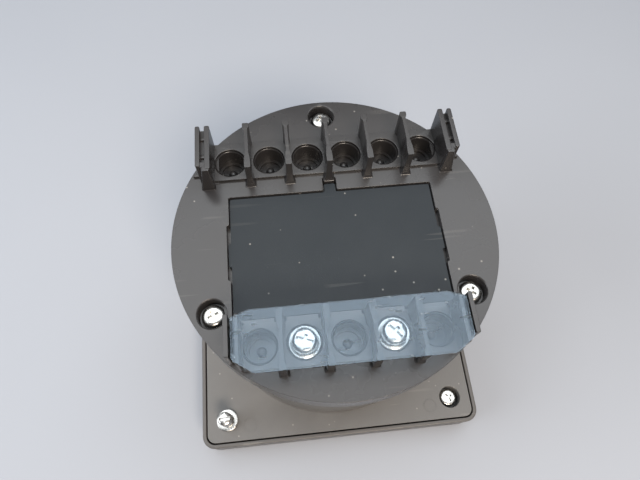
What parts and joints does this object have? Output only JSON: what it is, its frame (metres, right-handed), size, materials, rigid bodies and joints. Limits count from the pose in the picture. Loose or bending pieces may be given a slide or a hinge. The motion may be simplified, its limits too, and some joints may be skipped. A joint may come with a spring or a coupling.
{
  "type": "panel meter",
  "caption": "Square-bezel panel meter with a round black barrel, barriered rear terminal rows, a clear terminal cover, a snap-in rear plate and a moving-coil movement.",
  "frame": {"origin": "centre of the front frame's face, on the surface that the meter lies on", "axes": "+Z along the meter's axis from the front face to the terminals, +Y towards the upper row of terminals, +X to the right when the rear is seen with the upper row at the top"},
  "size_m": [0.11, 0.11, 0.0991],
  "materials": {
    "aluminium": "stamped aluminium",
    "board_green": "glass-epoxy board with green resist",
    "brass": "turned brass",
    "bright_zinc": "bright zinc or nickel plate",
    "case_black": "satin moulded black",
    "clear_plastic": "clear flexible sheet with fine scratches",
    "copper": "enamelled copper wire",
    "cover_black": "moulded gloss black with a soft sheen",
    "dial_white": "matt off-white with a printed scale",
    "frame_black": "satin moulded black",
    "glass": "clear window",
    "lead_red": "insulated wire",
    "magnet_grey": "sintered magnet, grey",
    "part_blue": "sleeved capacitor",
    "part_tan": "lacquered resistor",
    "plate_black": "fine matte texture, charcoal",
    "pointer_red": "matt red paint",
    "steel": "plain steel"
  },
  "bodies": {
    "root": {"board_screw_1": "steel", "board_screw_2": "steel", "bridge_screw_1": "steel", "bridge_screw_2": "steel", "bridge_spacer_1": "brass", "bridge_spacer_2": "brass", "circuit_board": "board_green", "cover_screw_1": "bright_zinc", "cover_screw_2": "bright_zinc", "cover_screw_3": "bright_zinc", "dial_plate": "dial_white", "dial_screw_1": "steel", "dial_screw_2": "steel", "dial_surround": "plate_black", "filter_capacitor": "part_blue", "frame_screw_1": "bright_zinc", "frame_screw_2": "bright_zinc", "front_bridge": "aluminium", "front_frame": "frame_black", "front_jewel_screw": "brass", "magnet": "magnet_grey", "meter_case": "case_black", "mounting_stud_1": "bright_zinc", "mounting_stud_2": "bright_zinc", "movement_frame": "case_black", "movement_lead_1": "plate_black", "movement_lead_2": "lead_red", "movement_pillar_1": "brass", "movement_pillar_2": "brass", "pillar_nut_1": "brass", "pillar_nut_2": "brass", "pole_ring": "steel", "rear_bridge": "aluminium", "rear_cover": "cover_black", "rear_hairspring": "brass", "rear_jewel_screw": "brass", "rectifier": "plate_black", "resistor_1": "part_tan", "resistor_2": "part_tan", "resistor_3": "part_tan", "terminal_post_1": "brass", "terminal_post_2": "brass", "transformer_coil": "copper", "transformer_core": "steel", "window_glass": "glass", "yoke_ring": "steel"},
    "pointer": {"pointer": "pointer_red", "pointer_counterweight": "brass", "spindle": "steel", "coil_bracket": "aluminium", "moving_coil": "copper"},
    "zero_adjuster": {"zero_adjuster": "case_black"},
    "zero_lever": {"zero_lever": "brass", "front_hairspring": "brass"},
    "terminal_cover": {"terminal_cover": "clear_plastic"},
    "rear_plate": {"rear_plate": "plate_black"},
    "terminal_washer_1": {"terminal_washer_1": "bright_zinc"},
    "terminal_washer_2": {"terminal_washer_2": "bright_zinc"},
    "terminal_screw_1": {"terminal_screw_1": "bright_zinc"},
    "terminal_screw_2": {"terminal_screw_2": "bright_zinc"}
  },
  "joints": [
    {"name": "pointer_turn", "type": "hinge", "parent": "root", "child": "pointer", "pos_m": [0, 0, 0.02], "axis": [0, 0, 1], "range_deg": [0, 240], "stiffness_Nm_per_rad": 0.0000024},
    {"name": "zero_adjuster_turn", "type": "hinge", "parent": "root", "child": "zero_adjuster", "pos_m": [0, -0.022, 0.003], "axis": [0, 0, 1], "range_deg": [-40, 40]},
    {"name": "zero_lever_turn", "type": "hinge", "parent": "root", "child": "zero_lever", "pos_m": [0, 0, 0.006], "axis": [0, 0, 1], "range_deg": [-2.5, 2.5]},
    {"name": "terminal_cover_lift", "type": "slide", "parent": "root", "child": "terminal_cover", "axis": [0, 0, 1], "range_m": [0, 0.02]},
    {"name": "rear_plate_lift", "type": "slide", "parent": "root", "child": "rear_plate", "axis": [0, 0, 1], "range_m": [0, 0.02]},
    {"name": "terminal_washer_lift_1", "type": "slide", "parent": "root", "child": "terminal_washer_1", "axis": [0, 0, 1], "range_m": [0, 0.00489]},
    {"name": "terminal_screw_turn_1", "type": "hinge", "parent": "terminal_washer_1", "child": "terminal_screw_1", "pos_m": [-0.0125, -0.0329, 0.09], "axis": [0, 0, 1], "range_deg": [0, 2520]},
    {"name": "terminal_washer_lift_2", "type": "slide", "parent": "root", "child": "terminal_washer_2", "axis": [0, 0, 1], "range_m": [0, 0.00489]},
    {"name": "terminal_screw_turn_2", "type": "hinge", "parent": "terminal_washer_2", "child": "terminal_screw_2", "pos_m": [0.0125, -0.0329, 0.09], "axis": [0, 0, 1], "range_deg": [0, 2520]}
  ],
  "couplings": [
    {"joint": "zero_lever_turn", "follows": "zero_adjuster_turn", "ratio": -0.0577},
    {"joint": "terminal_screw_turn_1", "follows": "terminal_washer_lift_1", "rad_per_m": 8976},
    {"joint": "terminal_screw_turn_2", "follows": "terminal_washer_lift_2", "rad_per_m": 8976}
  ]
}
